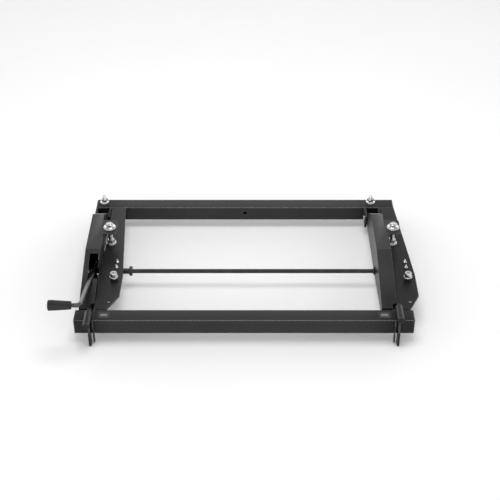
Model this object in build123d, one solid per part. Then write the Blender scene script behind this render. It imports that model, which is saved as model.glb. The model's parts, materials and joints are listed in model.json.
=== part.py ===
from build123d import *
import math
import os

# Lever-operated clamping frame, in millimetres.
# While it is modelled: X runs along the beams with 0 at mid-length, Y runs from the
# front face of the front beam to the rear, and Z = 0 is the top face of the beams.
# Everything is moved at the end, so that the origin is the bottom centre of the whole.

# ---- overall sizes -------------------------------------------------------------------
BEAM_LENGTH = 900.0          # both beams, over their end caps
FRAME_DEPTH = 579.0          # front face of the front beam to rear face of the rear beam
UNIT_PITCH = 811.0           # left side unit to right side unit, which are copies
TUBE = 45.0                  # beam section, square
TUBE_WALL = 3.0
TUBE_CORNER = 3.0
TUBE_INNER_CORNER = 1.0
STAND_HEIGHT = 71.0          # beam top down to the tips of the feet

# ---- clearances ----------------------------------------------------------------------
RUNNING = 0.08               # shaft or pin in its bore, radial
THREAD = 0.08                # nut or tapped hole on its thread, radial
BOLT_HOLE = 0.5              # plain hole around a bolt, radial
SLIDING = 0.3                # sliding guide, each side
SIDE_GAP = 1.5               # between a moving arm and the deck beside it
WELD_GAP = 2.0               # front edge of a deck to the front beam

# ---- end caps and centre bore --------------------------------------------------------
CAP_PLATE = 2.5
CAP_DEPTH = 12.0
CAP_WALL = 2.0
CENTRE_BORE_R = 5.5
CENTRE_BORE_Z = -20.0

# ---- side rails, decks ---------------------------------------------------------------
DECK = 5.0                   # deck plate thickness
ARM_WIDTH = 41.0             # front part of an arm
ARM_TONGUE = 33.5            # rear part of an arm, between the cheeks
ARM_LEFT = -443.0            # left face of the left arm
DECK_LEFT = ARM_LEFT + ARM_WIDTH + SIDE_GAP
DECK_REAR_WIDTH = 39.5       # deck width where it meets the rear beam
DECK_WIDTH = 63.0            # deck width from the knee forward
DECK_FRONT_WIDTH = 33.0      # deck width at its front edge
DECK_KNEE_Y = 199.0
DECK_CHAMFER_Y = 105.0
RAIL_WIDTH = 24.0
RAIL_HEIGHT = 30.0
RAIL_WALL = 2.5
DECK_HOLE_R = 5.0
DECK_HOLE_INSET = 36.5       # from the deck's arm-side edge
DECK_HOLE_Y = 80.5

# ---- arms ----------------------------------------------------------------------------
SHEET = 3.0
ARM_TOP = 53.0
ARM_FRONT_Y = 56.0
ARM_FRONT_Z = -4.0
ARM_BEND_Y = 247.0
ARM_TAIL_Y = 421.0
ARM_TAIL_END_Y = 485.0
ARM_TAIL_END_Z = 12.0
ARM_STEP_Y = 318.0           # front part is wider than the rear part up to here
ARM_SKIRT_FRONT = -22.0
ARM_SKIRT = -34.0
ARM_SKIRT_Y = 200.0
NOTCH_WIDTH = 11.0
NOTCH_LENGTH = 16.0
MOUTH_REAR_Y = 234.0         # lever mouth in the left arm's top
MOUTH_FRONT_Y = 150.0
MOUTH_SLOT_Y = 122.0
MOUTH_EDGE = 14.0            # strip left standing beside the mouth
MOUTH_SLOT_WIDTH = 15.5
MOUTH_SILL_Z = 2.0           # inner wall's top edge beside the mouth
MOUTH_SILL_FRONT_Y = 150.0
MOUTH_SILL_REAR_Y = 212.0
BELLY_REAR_Y = 480.0         # rear end of the plate under an arm
CAM_SLOT_FRONT_Y = 224.0     # slot in that plate, for the cam
CAM_SLOT_REAR_Y = 292.0
CAM_SLOT_SIDE = 1.5
SILL_PIN_R = 2.4             # pin on the mouth's inner edge
SILL_PIN_HEIGHT = 15.0
SILL_PIN_Y = 180.0

# ---- rear pivots ---------------------------------------------------------------------
PIVOT_Z = -22.0
PIVOT_INSET = 23.0           # pivot axis in front of the rear beam's front face
PIVOT_R = 6.0
EYE_R = 14.0
PIVOT_TUBE_R = 10.0
CHEEK = 6.0
CHEEK_DEPTH = 45.0
CHEEK_GAP = 1.0              # arm to cheek, on its outer side
PIN_HEAD_R = 8.0
PIN_HEAD = 3.0
CLIP = 1.0
CLIP_R = 8.5
CLIP_PLAY = 0.1              # each side, in the groove
CLIP_MOUTH = 0.8             # half opening, as a part of the groove's radius
GROOVE_DEPTH = 1.0

# ---- cross shaft, cams and lever -----------------------------------------------------
SHAFT_R = 6.0
SHAFT_Y = 244.5
SHAFT_Z = -22.0
SHAFT_END_PLAY = 3.0
CAM_R = 26.0
CAM_OFFSET = 16.0
CAM_ANGLE = 45.0             # eccentric behind the vertical, lever down
CAM_WIDTH = 6.0
CAM_GAP = 0.8                # cam to follower, lever down
FOLLOWER_WIDTH = 12.0
FOLLOWER_OVERLAP = 1.5       # past the cam's outer face
LEVER_R = 6.0
LEVER_LENGTH = 293.0         # from beside the shaft to the grip's axis
LEVER_TAIL = 26.0            # bar behind the shaft
LEVER_OFFSET = 13.2          # bar's axis above the shaft's
LEVER_ANGLE = 17.1           # above the horizontal, lever down
LEVER_INSET = 22.0           # lever plane from the arm's left face
LEVER_BEND_R = 12.0
HUB_R = 10.0
HUB_WIDTH = 14.0
HUB_PIN_R = 2.0
SHANK_R = 5.0
SHANK_FREE = 22.0            # lever axis to the grip
GRIP_R = 11.5
GRIP_NECK_R = 8.8
GRIP_LENGTH = 60.0
GRIP_BORE_DEPTH = 46.0
LEVER_TRAVEL = 40.0          # degrees
ARM_TRAVEL = 2.2             # degrees, arm drop while the lever is raised
LEFT_COLLAR_R = 13.5
LEFT_COLLAR = 8.0
LEFT_COLLAR_OFFSET = 13.0    # collar to the deck's inner edge
SLEEVE_R = 8.0
RIGHT_COLLAR_R = 10.0
RIGHT_COLLAR = 4.0
RIGHT_COLLAR_GAP = 0.5
GRUB_R = 2.0
GRUB_LENGTH = 3.5

# ---- bearing blocks ------------------------------------------------------------------
BLOCK_X = 20.0
BLOCK_Y = 42.0
BLOCK_Z = 30.0
BLOCK_INSET = 31.5           # from the deck's arm-side edge
BUSH_R = 8.0
M5_SPACING = 25.0
M5_DEPTH = 15.0              # studs in the bearing blocks
M5_END = 4.5                 # stud past its nut
M5_INSET = 41.5              # from the deck's arm-side edge

# ---- stop bolts through the lugs -----------------------------------------------------
STOP_INSET = 14.5            # from the deck's arm-side edge
STOP_Y = 351.0
LUG = 3.0
LUG_OVERHANG = 34.5          # lug's right edge from the deck's arm-side edge
LUG_FRONT_Y = 320.0
LUG_REAR_Y = 390.0
LUG_CORNER = 6.0
STOP_SLOT = 4.5              # extra slot length for the arc of the arm

# ---- other fasteners -----------------------------------------------------------------
CAP_SCREW_INSET = 40.5
CAP_SCREW_Y = 178.0
CAP_SCREW_BUSH_R = 9.0
CAP_SCREW_BUSH = 8.0
REAR_BOLT_Y = FRAME_DEPTH - 14.5
REAR_BOLT_INSET = 15.0       # from the arm's left face

# ---- hooks and latch bolts at the front ----------------------------------------------
HOOK_OUTER = 6.0
HOOK_OUTER_X = 405.0         # inner face of the outer hook, from mid-length
HOOK_OUTER_DEPTH = 22.0
HOOK_INNER = 3.5
HOOK_INNER_X = 396.5
HOOK_INNER_DEPTH = 12.0
HOOK_INNER_TIP = 2.5         # inner hook ends above the outer hook's tip
HOOK_TOP_STRIP = 4.0
LATCH_X = 411.0
LATCH_R = 10.0
LATCH_LENGTH = 57.0
LATCH_FRONT_IN = -13.0       # front end when drawn back
LATCH_TRAVEL = 25.0
KEY_STEM = 6.0
KEY_HEAD = 10.0
KEY_STEM_H = 4.0
KEY_HEAD_H = 3.0
KEY_INSET = 2.0

# ---- labels --------------------------------------------------------------------------
LABEL_X = 371.5
LABEL_LENGTH = 31.0
LABEL_DEPTH = 25.0
LABEL = 0.4
LABEL_CORNER = 3.0

# ---- derived places ------------------------------------------------------------------
REAR_FACE_Y = FRAME_DEPTH - TUBE          # front face of the rear beam
PIVOT_Y = REAR_FACE_Y - PIVOT_INSET
RAIL_LEFT = DECK_LEFT - 0.5
TONGUE_RIGHT = ARM_LEFT + ARM_TONGUE
CHEEK_A = ARM_LEFT - CHEEK_GAP - CHEEK    # left cheek's left face
CHEEK_B = TONGUE_RIGHT + 0.3              # right cheek's left face
LEVER_X = ARM_LEFT + LEVER_INSET
CAM_LEFT = ARM_LEFT + ARM_WIDTH - SHEET - 1.0 - CAM_WIDTH
STOP_X = DECK_LEFT + STOP_INSET
BLOCK_LEFT = DECK_LEFT + BLOCK_INSET
FOLLOWER_Y = SHAFT_Y + CAM_OFFSET * math.sin(math.radians(CAM_ANGLE + LEVER_TRAVEL / 2))
FOLLOWER_Z = SHAFT_Z + CAM_OFFSET * math.cos(math.radians(CAM_ANGLE)) + CAM_R + CAM_GAP

# Metric sizes: thread radius, across flats, heights of nut and head, washer, nut flange
M12 = {
    "r": 6.0,
    "flats": 19.0,
    "nut": 10.8,
    "hex_head": 7.5,
    "washer_r": 12.0,
    "washer": 2.5,
    "flange_r": 14.5,
}
M5 = {"r": 2.5, "flats": 8.0, "nut": 4.5, "flange_r": 5.2}
M12_HEAD_R = 9.8
M12_HEAD = 12.0
WIDE_WASHER_R = 18.0
WIDE_WASHER = 3.0
LOWER_WASHER_R = 15.5
REAR_WASHER_R = 14.0
REAR_FLANGE_R = 11.5
STOP_BOLT_END = 3.0          # thread past the nut
REAR_BOLT_END = 9.5
FLANGE = 1.5
STOP_CONE = 3.5
REAR_CONE = 2.5
SOCKET_R = 0.42              # across the flats, as a part of the head's radius
SOCKET_FLOOR = 0.78          # height of the socket's floor, as a part of the head

parts = {}


# ---- shape helpers -------------------------------------------------------------------
def block(x0, x1, y0, y1, z0, z1):
    return Pos((x0 + x1) / 2, (y0 + y1) / 2, (z0 + z1) / 2) * Box(x1 - x0, y1 - y0, z1 - z0)


def rod_x(radius, x0, x1, y, z):
    return Pos((x0 + x1) / 2, y, z) * Rot(0, 90, 0) * Cylinder(radius, x1 - x0)


def rod_y(radius, y0, y1, x, z):
    return Pos(x, (y0 + y1) / 2, z) * Rot(90, 0, 0) * Cylinder(radius, y1 - y0)


def rod_z(radius, z0, z1, x, y):
    return Pos(x, y, (z0 + z1) / 2) * Cylinder(radius, z1 - z0)


def plate_yz(points, x0, x1):
    """A plate lying across X, from its outline in (Y, Z)."""
    face = make_face(Plane.YZ.offset(x0) * Polyline(*points, close=True))
    return extrude(face, x1 - x0, dir=(1, 0, 0))


def plate_xy(points, z0, z1):
    """A level plate, from its outline in (X, Y)."""
    face = make_face(Plane.XY.offset(z0) * Polyline(*points, close=True))
    return extrude(face, z1 - z0, dir=(0, 0, 1))


def ring_z(outer, inner, z0, z1, x, y):
    return rod_z(outer, z0, z1, x, y) - rod_z(inner, z0 - 1, z1 + 1, x, y)


def ring_x(outer, inner, x0, x1, y, z):
    return rod_x(outer, x0, x1, y, z) - rod_x(inner, x0 - 1, x1 + 1, y, z)


def hexagon(flats, z0, z1, x, y):
    """A hexagon with the usual turned corners, upright."""
    prism = extrude(Plane.XY.offset(z0) * RegularPolygon(flats / 2, 6, major_radius=False), z1 - z0)
    corner_r = flats / 2 / math.cos(math.pi / 6)
    turned = chamfer(rod_z(corner_r, z0, z1, 0, 0).edges(), 0.9, 1.6)
    return Pos(x, y, 0) * (prism & turned)


def nut(size, z0, x, y, height=None):
    top = z0 + (height or size["nut"])
    return hexagon(size["flats"], z0, top, x, y) - rod_z(size["r"] + THREAD, z0 - 1, top + 1, x, y)


def flange_nut(size, z0, x, y, flange_r, flange, cone):
    """A nut with a flange below that rises to it in a cone."""
    top = z0 + size["nut"]
    body = hexagon(size["flats"], z0 + flange, top, x, y) + rod_z(flange_r, z0, z0 + flange, x, y)
    body += Pos(x, y, z0 + flange + cone / 2) * Cone(flange_r, size["flats"] / 2, cone)
    return body - rod_z(size["r"] + THREAD, z0 - 1, top + 1, x, y)


def washer(size, z0, x, y, radius=None, thickness=None):
    outer = radius or size["washer_r"]
    top = z0 + (thickness or size["washer"])
    flat = rod_z(outer, z0, top, x, y)
    flat = chamfer(flat.edges().group_by(Axis.Z)[-1], 0.4)
    return flat - rod_z(size["r"] + 0.3, z0 - 1, top + 1, x, y)


def cap_screw(radius, head_r, head, z_seat, length, x, y):
    """A socket head screw, head up, seated at z_seat."""
    top = rod_z(head_r, z_seat, z_seat + head, x, y)
    top = fillet(top.edges().group_by(Axis.Z)[-1], head_r * 0.12)
    hexagon_face = RegularPolygon(head_r * SOCKET_R, 6, major_radius=False)
    socket = extrude(Plane.XY.offset(z_seat + head * SOCKET_FLOOR) * hexagon_face, head)
    shank = rod_z(radius, z_seat - length, z_seat, x, y)
    shank = chamfer(shank.edges().group_by(Axis.Z)[0], radius * 0.15)
    return top + shank - Pos(x, y, 0) * socket


def add(name, *solids):
    parts[name] = solids[0] if len(solids) == 1 else Compound(children=list(solids))


def on_both_sides(make):
    """The same solids on the left unit and, one pitch over, on the right unit."""
    left = make()
    return [left, Pos(UNIT_PITCH, 0, 0) * make()]


# ---- beams and their end caps --------------------------------------------------------
def beam(y0):
    """A square tube along X, its top face at Z = 0."""
    half = (BEAM_LENGTH - 2 * CAP_PLATE) / 2
    outside = RectangleRounded(TUBE, TUBE, TUBE_CORNER)
    inside = RectangleRounded(TUBE - 2 * TUBE_WALL, TUBE - 2 * TUBE_WALL, TUBE_INNER_CORNER)
    section = Plane.YZ.offset(-half) * Pos(y0 + TUBE / 2, -TUBE / 2) * (outside - inside)
    return extrude(section, 2 * half)


def end_caps(y0):
    """The two plastic plugs of a beam."""
    half = BEAM_LENGTH / 2
    body = TUBE - 2 * TUBE_WALL - 2 * RUNNING
    plate = RectangleRounded(TUBE, TUBE, TUBE_CORNER)
    skirt = RectangleRounded(body, body, 1.2) - Rectangle(body - 2 * CAP_WALL, body - 2 * CAP_WALL)
    at = Pos(y0 + TUBE / 2, -TUBE / 2)
    left = extrude(Plane.YZ.offset(-half) * at * plate, CAP_PLATE)
    left += extrude(Plane.YZ.offset(-half + CAP_PLATE) * at * skirt, CAP_DEPTH)
    left = chamfer(left.faces().sort_by(Axis.X)[0].edges(), 0.8)
    return [left, mirror(left, about=Plane.YZ)]


front_beam = beam(0)
rear_beam = beam(REAR_FACE_Y)
rear_beam -= rod_y(CENTRE_BORE_R, REAR_FACE_Y - 1, FRAME_DEPTH + 1, 0, CENTRE_BORE_Z)

REAR_BOLT_X = ARM_LEFT + REAR_BOLT_INSET
for bolt_x in (REAR_BOLT_X, REAR_BOLT_X + UNIT_PITCH):
    rear_beam -= rod_z(M12["r"] + BOLT_HOLE, -TUBE - 1, 1, bolt_x, REAR_BOLT_Y)

add("front_beam", front_beam)
add("rear_beam", rear_beam)
add("front_beam_end_caps", *end_caps(0))
add("rear_beam_end_caps", *end_caps(REAR_FACE_Y))


# ---- side rails under the decks ------------------------------------------------------
def side_rail():
    top = -DECK
    bottom = top - RAIL_HEIGHT
    x0, x1 = RAIL_LEFT, RAIL_LEFT + RAIL_WIDTH
    tube = block(x0, x1, TUBE, REAR_FACE_Y, bottom, top)
    hollow = bottom + RAIL_WALL, top - RAIL_WALL
    tube -= block(x0 + RAIL_WALL, x1 - RAIL_WALL, TUBE - 1, REAR_FACE_Y + 1, *hollow)
    tube -= rod_x(SHAFT_R + 1.0, x0 - 1, x1 + 1, SHAFT_Y, SHAFT_Z)
    return tube - rod_z(M12["r"] + BOLT_HOLE, bottom - 1, top + 1, STOP_X, STOP_Y)


# ---- deck plates ---------------------------------------------------------------------
def deck():
    x = DECK_LEFT
    front = TUBE + WELD_GAP
    outline = [
        (x, REAR_FACE_Y),
        (x, front),
        (x + DECK_FRONT_WIDTH, front),
        (x + DECK_WIDTH - 1.0, DECK_CHAMFER_Y),
        (x + DECK_WIDTH, DECK_KNEE_Y),
        (x + DECK_REAR_WIDTH, REAR_FACE_Y),
    ]
    plate = plate_xy(outline, -DECK, 0)
    holes = [
        (DECK_HOLE_R, x + DECK_HOLE_INSET, DECK_HOLE_Y),
        (M12["r"] + BOLT_HOLE, x + CAP_SCREW_INSET, CAP_SCREW_Y),
        (M12["r"] + BOLT_HOLE, STOP_X, STOP_Y),
        (M5["r"] + 0.25, x + M5_INSET, SHAFT_Y - M5_SPACING / 2),
        (M5["r"] + 0.25, x + M5_INSET, SHAFT_Y + M5_SPACING / 2),
    ]
    for radius, hole_x, hole_y in holes:
        plate -= rod_z(radius, -DECK - 1, 1, hole_x, hole_y)
    return plate


# ---- clevis cheeks at the rear beam --------------------------------------------------
def cheek(x0, bottom):
    front = REAR_FACE_Y - CHEEK_DEPTH
    plate = block(x0, x0 + CHEEK, front, REAR_FACE_Y, bottom, 0)
    plate = fillet(plate.edges().filter_by(Axis.X).group_by(Axis.Y)[0], 6)
    return plate - rod_x(PIVOT_R + RUNNING, x0 - 1, x0 + CHEEK + 1, PIVOT_Y, PIVOT_Z)


# ---- pivot pins ----------------------------------------------------------------------
PIN_END = RAIL_LEFT - 0.4
CLIP_X = CHEEK_B + CHEEK + 0.1


def pivot_pin():
    head = rod_x(PIN_HEAD_R, CHEEK_A - PIN_HEAD, CHEEK_A, PIVOT_Y, PIVOT_Z)
    head = fillet(head.edges().group_by(Axis.X)[0], 0.8)
    pin = head + rod_x(PIVOT_R, CHEEK_A, PIN_END, PIVOT_Y, PIVOT_Z)
    groove = ring_x(PIVOT_R + 1, PIVOT_R - GROOVE_DEPTH, CLIP_X, CLIP_X + CLIP, PIVOT_Y, PIVOT_Z)
    return pin - groove


def pin_clip():
    """An open ring in a pin's groove."""
    inner = PIVOT_R - GROOVE_DEPTH + RUNNING
    half = inner * CLIP_MOUTH
    x0, x1 = CLIP_X + CLIP_PLAY, CLIP_X + CLIP - CLIP_PLAY
    clip = ring_x(CLIP_R, inner, x0, x1, PIVOT_Y, PIVOT_Z)
    return clip - block(x0 - 1, x1 + 1, PIVOT_Y - half, PIVOT_Y + half, PIVOT_Z - 2 * CLIP_R, PIVOT_Z)


for side, shift in (("left", 0.0), ("right", UNIT_PITCH)):
    at = Pos(shift, 0, 0)
    add(side + "_side_rail", at * side_rail())
    add(side + "_deck", at * deck())
    add(side + "_pivot_cheek", at * cheek(CHEEK_A, -TUBE))
    add(side + "_foot_cheek", at * cheek(CHEEK_B, -STAND_HEIGHT))

add("pivot_pins", *on_both_sides(pivot_pin))
add("pin_clips", *on_both_sides(pin_clip))


# ---- arms ----------------------------------------------------------------------------
def arm_outline(inset):
    """Side view of an arm in (Y, Z); inset takes the sheet off its top and ends."""
    slope = math.atan2(ARM_TOP - ARM_FRONT_Z, ARM_BEND_Y - ARM_FRONT_Y)
    tail = math.atan2(ARM_TOP - ARM_TAIL_END_Z, ARM_TAIL_END_Y - ARM_TAIL_Y)
    bend_shift = inset * math.tan(slope / 2)
    tail_shift = inset * math.tan(tail / 2)
    drop = inset / math.cos(slope)
    return [
        (ARM_FRONT_Y, ARM_FRONT_Z - drop),
        (ARM_BEND_Y + bend_shift, ARM_TOP - inset),
        (ARM_TAIL_Y - tail_shift, ARM_TOP - inset),
        (ARM_TAIL_END_Y, ARM_TAIL_END_Z - inset / math.cos(tail)),
    ]


def arm_silhouette(x0, x1):
    """Everything between an arm's top profile, the level of its eye, and its skirt."""
    points = arm_outline(0) + [
        (PIVOT_Y, PIVOT_Z + EYE_R),
        (PIVOT_Y, PIVOT_Z - EYE_R),
        (ARM_SKIRT_Y, ARM_SKIRT),
        (ARM_FRONT_Y, ARM_SKIRT_FRONT),
    ]
    return plate_yz(points, x0, x1)


def arm_wall(x0, x1):
    """A side wall, with its eye at the pivot and its slot over the shaft."""
    wall = arm_silhouette(x0, x1) + rod_x(EYE_R, x0, x1, PIVOT_Y, PIVOT_Z)
    wall -= rod_x(PIVOT_R + RUNNING, x0 - 1, x1 + 1, PIVOT_Y, PIVOT_Z)
    slot_r = SHAFT_R + 3.0
    lift = math.radians(ARM_TRAVEL) * (PIVOT_Y - SHAFT_Y) + 1.0
    wall -= rod_x(slot_r, x0 - 1, x1 + 1, SHAFT_Y, SHAFT_Z + lift)
    return wall - block(x0 - 1, x1 + 1, SHAFT_Y - slot_r, SHAFT_Y + slot_r, -TUBE * 2, SHAFT_Z + lift)


def arm_belly():
    """The plate that closes an arm from below, with a slot for the cam."""
    right = ARM_LEFT + ARM_WIDTH
    fold = [(ARM_FRONT_Y, ARM_SKIRT_FRONT), (ARM_SKIRT_Y, ARM_SKIRT), (BELLY_REAR_Y, ARM_SKIRT)]
    plate = plate_yz(fold + [(y, z - SHEET) for y, z in fold[::-1]], ARM_LEFT, right)
    plate -= block(TONGUE_RIGHT, right + 1, ARM_STEP_Y, FRAME_DEPTH, -2 * TUBE, 0)
    slot_x = CAM_LEFT - CAM_SLOT_SIDE, CAM_LEFT + CAM_WIDTH + 1.0
    return plate - block(*slot_x, CAM_SLOT_FRONT_Y, CAM_SLOT_REAR_Y, -2 * TUBE, 0)


def arm_front_walls():
    """The end walls of an arm's front, which step back round the notch."""
    right = ARM_LEFT + ARM_WIDTH
    step_x = right - NOTCH_WIDTH - SHEET
    step_y = ARM_FRONT_Y + NOTCH_LENGTH
    walls = block(ARM_LEFT, right, ARM_FRONT_Y, ARM_FRONT_Y + SHEET, -TUBE, TUBE)
    walls += block(step_x, step_x + SHEET, ARM_FRONT_Y, step_y + SHEET, -TUBE, TUBE)
    walls += block(step_x, right, step_y, step_y + SHEET, -TUBE, TUBE)
    return walls & arm_silhouette(ARM_LEFT, right)


def arm_channel():
    """A folded box: a humped top, two side walls and a belly, wider at the front."""
    outer, inner = arm_outline(0), arm_outline(SHEET)
    top = plate_yz(outer + inner[::-1], ARM_LEFT, ARM_LEFT + ARM_WIDTH)
    left_wall = arm_wall(ARM_LEFT, ARM_LEFT + SHEET)
    wide_wall = arm_wall(ARM_LEFT + ARM_WIDTH - SHEET, ARM_LEFT + ARM_WIDTH)
    wide_wall -= block(-BEAM_LENGTH, 0, ARM_STEP_Y, FRAME_DEPTH, -TUBE * 2, TUBE * 2)
    tongue_wall = arm_wall(TONGUE_RIGHT - SHEET, TONGUE_RIGHT)
    tongue_wall -= block(-BEAM_LENGTH, 0, 0, ARM_STEP_Y - SHEET, -TUBE * 2, TUBE * 2)
    right = ARM_LEFT + ARM_WIDTH
    step = block(TONGUE_RIGHT - SHEET, right, ARM_STEP_Y - SHEET, ARM_STEP_Y, ARM_SKIRT, ARM_TOP)
    step &= arm_silhouette(ARM_LEFT, right)
    top -= block(TONGUE_RIGHT, 0, ARM_STEP_Y, FRAME_DEPTH, -TUBE * 2, TUBE * 2)
    channel = top + left_wall + wide_wall + tongue_wall + step + arm_belly() + arm_front_walls()
    notch_left = right - NOTCH_WIDTH
    notch = block(notch_left, 0, ARM_FRONT_Y - 1, ARM_FRONT_Y + NOTCH_LENGTH, -TUBE * 2, TUBE * 2)
    return channel - notch


def lever_mouth():
    """The opening that the lever works through, in the left arm only."""
    left = ARM_LEFT + MOUTH_EDGE
    right = ARM_LEFT + ARM_WIDTH - SHEET
    mouth = block(left, right, MOUTH_FRONT_Y, MOUTH_REAR_Y, 0, TUBE * 2)
    mouth += block(left, left + MOUTH_SLOT_WIDTH, MOUTH_SLOT_Y, MOUTH_FRONT_Y + 1, -10, TUBE * 2)
    sill_y = MOUTH_SILL_FRONT_Y, MOUTH_SILL_REAR_Y
    return mouth + block(right - 1, right + SHEET + 1, *sill_y, MOUTH_SILL_Z, TUBE * 2)


def follower():
    """The block that rides on a cam, welded under the arm's top."""
    x0, x1 = CAM_LEFT - FOLLOWER_OVERLAP, ARM_LEFT + ARM_WIDTH - SHEET
    under_top = arm_outline(SHEET) + [(ARM_TAIL_END_Y, ARM_SKIRT), (ARM_FRONT_Y, ARM_SKIRT)]
    y0, y1 = FOLLOWER_Y - FOLLOWER_WIDTH / 2, FOLLOWER_Y + FOLLOWER_WIDTH / 2
    return block(x0, x1, y0, y1, FOLLOWER_Z, ARM_TOP) & plate_yz(under_top, x0, x1)


def pivot_tube():
    """The tube between an arm's two eyes."""
    x0, x1 = ARM_LEFT + SHEET, TONGUE_RIGHT - SHEET
    return ring_x(PIVOT_TUBE_R, PIVOT_R + RUNNING, x0, x1, PIVOT_Y, PIVOT_Z)


def lug():
    """The plate on an arm that the stop bolt passes through."""
    x1 = DECK_LEFT + LUG_OVERHANG
    low = ARM_TOP - LUG
    plate = block(TONGUE_RIGHT, x1, LUG_FRONT_Y, LUG_REAR_Y, low, ARM_TOP)
    plate = fillet(plate.edges().filter_by(Axis.Z).group_by(Axis.X)[-1], LUG_CORNER)
    radius = M12["r"] + 1.0
    slot_end = STOP_Y + STOP_SLOT
    for y in (STOP_Y, slot_end):
        plate -= rod_z(radius, low - 1, ARM_TOP + 1, STOP_X, y)
    return plate - block(STOP_X - radius, STOP_X + radius, STOP_Y, slot_end, low - 1, ARM_TOP + 1)


def sill_pin():
    """A short round pin that stands on the lever mouth's inner edge."""
    x = ARM_LEFT + ARM_WIDTH - SILL_PIN_R
    pin = rod_z(SILL_PIN_R, MOUTH_SILL_Z, MOUTH_SILL_Z + SILL_PIN_HEIGHT, x, SILL_PIN_Y)
    return fillet(pin.edges().group_by(Axis.Z)[-1], 0.8)


for side, shift in (("left", 0.0), ("right", UNIT_PITCH)):
    at = Pos(shift, 0, 0)
    channel = arm_channel()
    if side == "left":
        channel -= lever_mouth()
    add(side + "_arm", at * channel)
    add(side + "_arm_follower", at * follower())
    add(side + "_arm_pivot_tube", at * pivot_tube())
    add(side + "_arm_lug", at * lug())

add("left_arm_pin", sill_pin())


# ---- cross shaft, cams, collars ------------------------------------------------------
SHAFT_START = ARM_LEFT + SHEET + 2.0
SHAFT_END = BLOCK_LEFT + BLOCK_X + UNIT_PITCH + SHAFT_END_PLAY
HUB_LEFT = LEVER_X - HUB_WIDTH / 2
DECK_EDGE = DECK_LEFT + DECK_WIDTH
LEFT_COLLAR_X = DECK_EDGE + LEFT_COLLAR_OFFSET
RIGHT_COLLAR_X = ARM_LEFT + UNIT_PITCH - RIGHT_COLLAR_GAP - RIGHT_COLLAR

shaft = rod_x(SHAFT_R, SHAFT_START, SHAFT_END, SHAFT_Y, SHAFT_Z)
shaft = chamfer(shaft.edges().group_by(Axis.X)[0] + shaft.edges().group_by(Axis.X)[-1], 0.8)
ring_at = BLOCK_LEFT + BLOCK_X + UNIT_PITCH + 0.5
shaft -= ring_x(SHAFT_R + 1, SHAFT_R - GROOVE_DEPTH, ring_at, ring_at + CLIP, SHAFT_Y, SHAFT_Z)
shaft -= rod_z(HUB_PIN_R + RUNNING, SHAFT_Z - HUB_R, SHAFT_Z + HUB_R, LEVER_X, SHAFT_Y)
add("cross_shaft", shaft)


def shaft_clip():
    """An open ring in the groove at the shaft's right end."""
    inner = SHAFT_R - GROOVE_DEPTH + RUNNING
    half = inner * CLIP_MOUTH
    x0, x1 = ring_at + CLIP_PLAY, ring_at + CLIP - CLIP_PLAY
    clip = ring_x(CLIP_R, inner, x0, x1, SHAFT_Y, SHAFT_Z)
    return clip - block(x0 - 1, x1 + 1, SHAFT_Y - half, SHAFT_Y + half, SHAFT_Z - 2 * CLIP_R, SHAFT_Z)


add("shaft_clip", shaft_clip())


def cam():
    """An eccentric disc on the cross shaft."""
    turn = math.radians(CAM_ANGLE)
    centre_y = SHAFT_Y + CAM_OFFSET * math.sin(turn)
    centre_z = SHAFT_Z + CAM_OFFSET * math.cos(turn)
    disc = rod_x(CAM_R, CAM_LEFT, CAM_LEFT + CAM_WIDTH, centre_y, centre_z)
    disc = chamfer(disc.edges(), 0.5)
    return disc - rod_x(SHAFT_R + 0.02, CAM_LEFT - 1, CAM_LEFT + CAM_WIDTH + 1, SHAFT_Y, SHAFT_Z)


add("left_cam", cam())
add("right_cam", Pos(UNIT_PITCH, 0, 0) * cam())


def collar(radius, x0, width):
    ring = rod_x(radius, x0, x0 + width, SHAFT_Y, SHAFT_Z)
    ring = chamfer(ring.edges(), 0.5)
    ring -= rod_x(SHAFT_R + 0.02, x0 - 1, x0 + width + 1, SHAFT_Y, SHAFT_Z)
    return ring - rod_z(GRUB_R + THREAD, SHAFT_Z, SHAFT_Z + radius + 1, x0 + width / 2, SHAFT_Y)


def grub_screw(radius, x0, width):
    """The set screw of a collar, just below its rim."""
    top = SHAFT_Z + radius - 0.6
    screw = rod_z(GRUB_R, top - GRUB_LENGTH, top, x0 + width / 2, SHAFT_Y)
    screw &= block(-BEAM_LENGTH, BEAM_LENGTH, 0, FRAME_DEPTH, SHAFT_Z + SHAFT_R + 0.05, TUBE)
    socket = extrude(Plane.XY.offset(top - 1.4) * RegularPolygon(1.0, 6, major_radius=False), 3)
    return screw - Pos(x0 + width / 2, SHAFT_Y, 0) * socket


add("left_shaft_collar", collar(LEFT_COLLAR_R, LEFT_COLLAR_X, LEFT_COLLAR))
add("right_shaft_collar", collar(RIGHT_COLLAR_R, RIGHT_COLLAR_X, RIGHT_COLLAR))
add(
    "collar_set_screws",
    grub_screw(LEFT_COLLAR_R, LEFT_COLLAR_X, LEFT_COLLAR),
    grub_screw(RIGHT_COLLAR_R, RIGHT_COLLAR_X, RIGHT_COLLAR),
)
SLEEVE_LEFT = BLOCK_LEFT + BLOCK_X + 0.5
add("shaft_sleeve", ring_x(SLEEVE_R, SHAFT_R + 0.02, SLEEVE_LEFT, LEFT_COLLAR_X, SHAFT_Y, SHAFT_Z))

# ---- lever ---------------------------------------------------------------------------
hub = chamfer(rod_x(HUB_R, HUB_LEFT, HUB_LEFT + HUB_WIDTH, SHAFT_Y, SHAFT_Z).edges(), 0.8)
hub -= rod_x(SHAFT_R + 0.02, HUB_LEFT - 1, HUB_LEFT + HUB_WIDTH + 1, SHAFT_Y, SHAFT_Z)
hub -= rod_z(HUB_PIN_R + RUNNING, SHAFT_Z - HUB_R - 1, SHAFT_Z + HUB_R + 1, LEVER_X, SHAFT_Y)
add("lever_hub", hub)
add("hub_pin", rod_z(HUB_PIN_R, SHAFT_Z - HUB_R + 0.5, SHAFT_Z + HUB_R - 0.5, LEVER_X, SHAFT_Y))

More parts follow.
